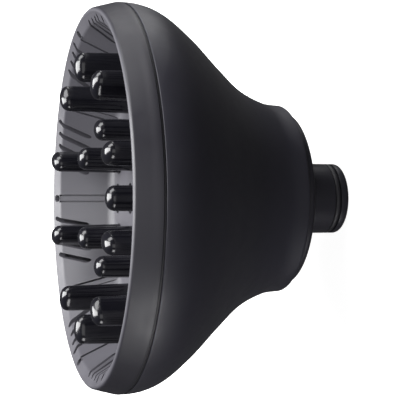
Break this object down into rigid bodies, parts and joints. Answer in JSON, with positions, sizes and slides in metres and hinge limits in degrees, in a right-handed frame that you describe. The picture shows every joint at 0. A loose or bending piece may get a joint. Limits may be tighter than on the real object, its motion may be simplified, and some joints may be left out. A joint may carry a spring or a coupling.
{
  "type": "hair dryer diffuser",
  "caption": "Bell-shaped hair dryer diffuser with a concave slotted bowl, domed oval fingers, annular air inlet, magnetic rear collar and centring spigot.",
  "frame": {"origin": "centre of the spigot's end face, on the axis", "axes": "+Z along the axis from the spigot to the bowl's mouth; +X and +Y across the bowl"},
  "size_m": [0.16, 0.16, 0.116],
  "materials": {
    "soft_touch_black": "fine soft-touch, matte",
    "satin_black": "fine satin moulded texture",
    "gloss_black": "polished gloss",
    "collar_black": "satin moulded",
    "seal_rubber": "matte rubber",
    "duct_grey": "plain heat-resistant moulding",
    "screw_steel": "zinc plated",
    "screen_steel": "etched mesh",
    "magnet_plate": "nickel plated"
  },
  "bodies": {
    "root": {"air_spreader": "duct_grey", "collar_magnets": "magnet_plate", "duct_gasket": "seal_rubber", "duct_screws": "screw_steel", "finger_retainer": "duct_grey", "front_bowl": "satin_black", "inlet_screen": "screen_steel", "inner_duct": "duct_grey", "inner_finger_01": "gloss_black", "inner_finger_02": "gloss_black", "inner_finger_03": "gloss_black", "inner_finger_04": "gloss_black", "inner_finger_05": "gloss_black", "magnet_backplate": "screw_steel", "outer_finger_01": "gloss_black", "outer_finger_02": "gloss_black", "outer_finger_03": "gloss_black", "outer_finger_04": "gloss_black", "outer_finger_05": "gloss_black", "outer_finger_06": "gloss_black", "outer_finger_07": "gloss_black", "outer_finger_08": "gloss_black", "outer_finger_09": "gloss_black", "outer_finger_10": "gloss_black", "rear_collar": "collar_black", "rear_housing": "soft_touch_black", "retainer_screws": "screw_steel", "rim_gasket": "seal_rubber", "spigot": "collar_black", "spigot_seal_ring": "seal_rubber"}
  },
  "joints": []
}
